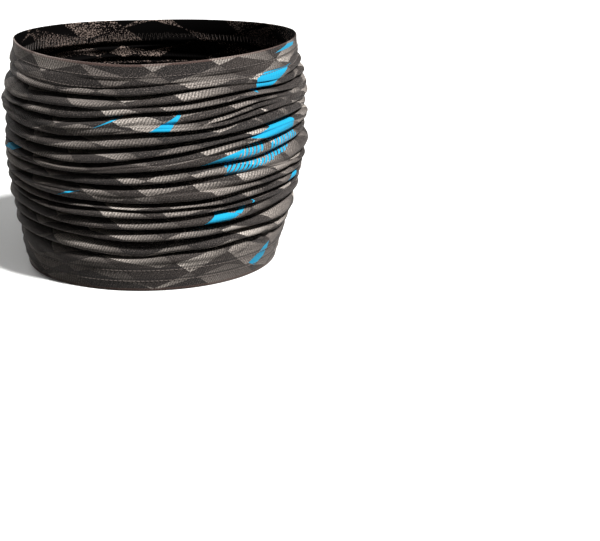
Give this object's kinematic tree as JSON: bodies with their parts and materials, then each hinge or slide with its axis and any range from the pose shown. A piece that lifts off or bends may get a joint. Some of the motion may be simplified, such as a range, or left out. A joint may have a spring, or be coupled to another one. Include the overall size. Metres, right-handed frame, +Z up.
{
  "type": "neck gaiter",
  "caption": "Soft printed knit neck tube pushed together into a standing ring of gathers between two stitched hems; it draws out along its length into a long open tube.",
  "frame": {"origin": "centre of the ring on which the bottom hem stands", "axes": "+Z up along the tube, from the bottom hem to the top hem; +X to the right and -Y towards the viewer, with the side seam 8 degrees behind +X"},
  "size_m": [0.171, 0.171, 0.125],
  "materials": {
    "printed_knit": "matt brushed polyester knit, printed with charcoal and grey shards and a few bright cyan ones",
    "sewing_thread": "dark spun polyester sewing thread"
  },
  "bodies": {
    "lower_end": {"bottom_hem": "printed_knit", "bottom_hem_edge_stitch_row": "sewing_thread", "bottom_hem_inner_stitch_row": "sewing_thread", "bottom_hem_looper_thread": "sewing_thread", "side_seam_allowance": "printed_knit", "side_seam_overlock_thread": "sewing_thread"},
    "gather_01_fold": {"gather_01": "printed_knit"},
    "gather_02_fold": {"gather_02": "printed_knit"},
    "gather_03_fold": {"gather_03": "printed_knit"},
    "gather_04_fold": {"gather_04": "printed_knit"},
    "gather_05_fold": {"gather_05": "printed_knit"},
    "gather_06_fold": {"gather_06": "printed_knit"},
    "gather_07_fold": {"gather_07": "printed_knit"},
    "gather_08_fold": {"gather_08": "printed_knit"},
    "gather_09_fold": {"gather_09": "printed_knit"},
    "gather_10_fold": {"gather_10": "printed_knit"},
    "gather_11_fold": {"gather_11": "printed_knit"},
    "upper_end": {"top_hem": "printed_knit", "top_hem_edge_stitch_row": "sewing_thread", "top_hem_inner_stitch_row": "sewing_thread", "top_hem_looper_thread": "sewing_thread"}
  },
  "joints": [
    {"name": "draw_out", "type": "slide", "parent": "lower_end", "child": "upper_end", "axis": [0, 0, 1], "range_m": [0, 0.355], "deforming": ["side_seam_allowance", "side_seam_overlock_thread"]},
    {"name": "gather_01_opens", "type": "slide", "parent": "lower_end", "child": "gather_01_fold", "axis": [0, 0, 1], "range_m": [0, 0.02959]},
    {"name": "gather_02_opens", "type": "slide", "parent": "lower_end", "child": "gather_02_fold", "axis": [0, 0, 1], "range_m": [0, 0.05918]},
    {"name": "gather_03_opens", "type": "slide", "parent": "lower_end", "child": "gather_03_fold", "axis": [0, 0, 1], "range_m": [0, 0.08876]},
    {"name": "gather_04_opens", "type": "slide", "parent": "lower_end", "child": "gather_04_fold", "axis": [0, 0, 1], "range_m": [0, 0.11834]},
    {"name": "gather_05_opens", "type": "slide", "parent": "lower_end", "child": "gather_05_fold", "axis": [0, 0, 1], "range_m": [0, 0.14793]},
    {"name": "gather_06_opens", "type": "slide", "parent": "lower_end", "child": "gather_06_fold", "axis": [0, 0, 1], "range_m": [0, 0.17751]},
    {"name": "gather_07_opens", "type": "slide", "parent": "lower_end", "child": "gather_07_fold", "axis": [0, 0, 1], "range_m": [0, 0.20709]},
    {"name": "gather_08_opens", "type": "slide", "parent": "lower_end", "child": "gather_08_fold", "axis": [0, 0, 1], "range_m": [0, 0.23668]},
    {"name": "gather_09_opens", "type": "slide", "parent": "lower_end", "child": "gather_09_fold", "axis": [0, 0, 1], "range_m": [0, 0.26626]},
    {"name": "gather_10_opens", "type": "slide", "parent": "lower_end", "child": "gather_10_fold", "axis": [0, 0, 1], "range_m": [0, 0.29584]},
    {"name": "gather_11_opens", "type": "slide", "parent": "lower_end", "child": "gather_11_fold", "axis": [0, 0, 1], "range_m": [0, 0.32543]}
  ],
  "couplings": [
    {"joint": "gather_01_opens", "follows": "draw_out", "ratio": 0.083333},
    {"joint": "gather_02_opens", "follows": "draw_out", "ratio": 0.16667},
    {"joint": "gather_03_opens", "follows": "draw_out", "ratio": 0.25},
    {"joint": "gather_04_opens", "follows": "draw_out", "ratio": 0.33333},
    {"joint": "gather_05_opens", "follows": "draw_out", "ratio": 0.41667},
    {"joint": "gather_06_opens", "follows": "draw_out", "ratio": 0.5},
    {"joint": "gather_07_opens", "follows": "draw_out", "ratio": 0.58333},
    {"joint": "gather_08_opens", "follows": "draw_out", "ratio": 0.66667},
    {"joint": "gather_09_opens", "follows": "draw_out", "ratio": 0.75},
    {"joint": "gather_10_opens", "follows": "draw_out", "ratio": 0.83333},
    {"joint": "gather_11_opens", "follows": "draw_out", "ratio": 0.91667}
  ]
}
